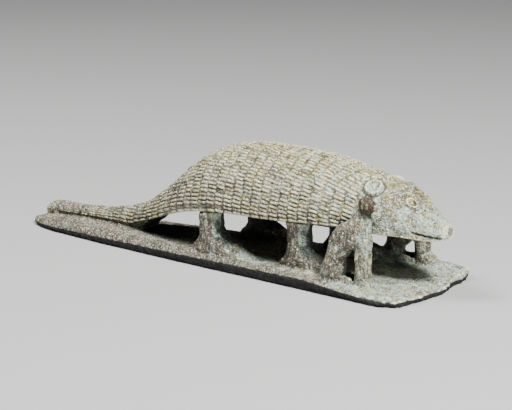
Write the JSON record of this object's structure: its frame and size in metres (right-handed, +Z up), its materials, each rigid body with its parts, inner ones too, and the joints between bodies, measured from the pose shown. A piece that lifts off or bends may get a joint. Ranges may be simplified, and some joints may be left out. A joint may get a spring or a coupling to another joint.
{
  "type": "ichneumon figure",
  "caption": "Cast bronze ichneumon standing on a long tapering plate, its tail laid along the plate, its coat carved in rows of short strokes, with small seated animals beside its neck.",
  "frame": {"origin": "on the flat underside of the plate, below the middle of the figure's length and width", "axes": "+X the way the ichneumon faces, +Y its left side, +Z up"},
  "size_m": [0.2465, 0.07, 0.0577],
  "materials": {
    "patinated_bronze": "matt buried-bronze patina, pale green-grey with brown and beige patches"
  },
  "bodies": {
    "root": {"ichneumon_figure": "patinated_bronze"}
  },
  "joints": []
}
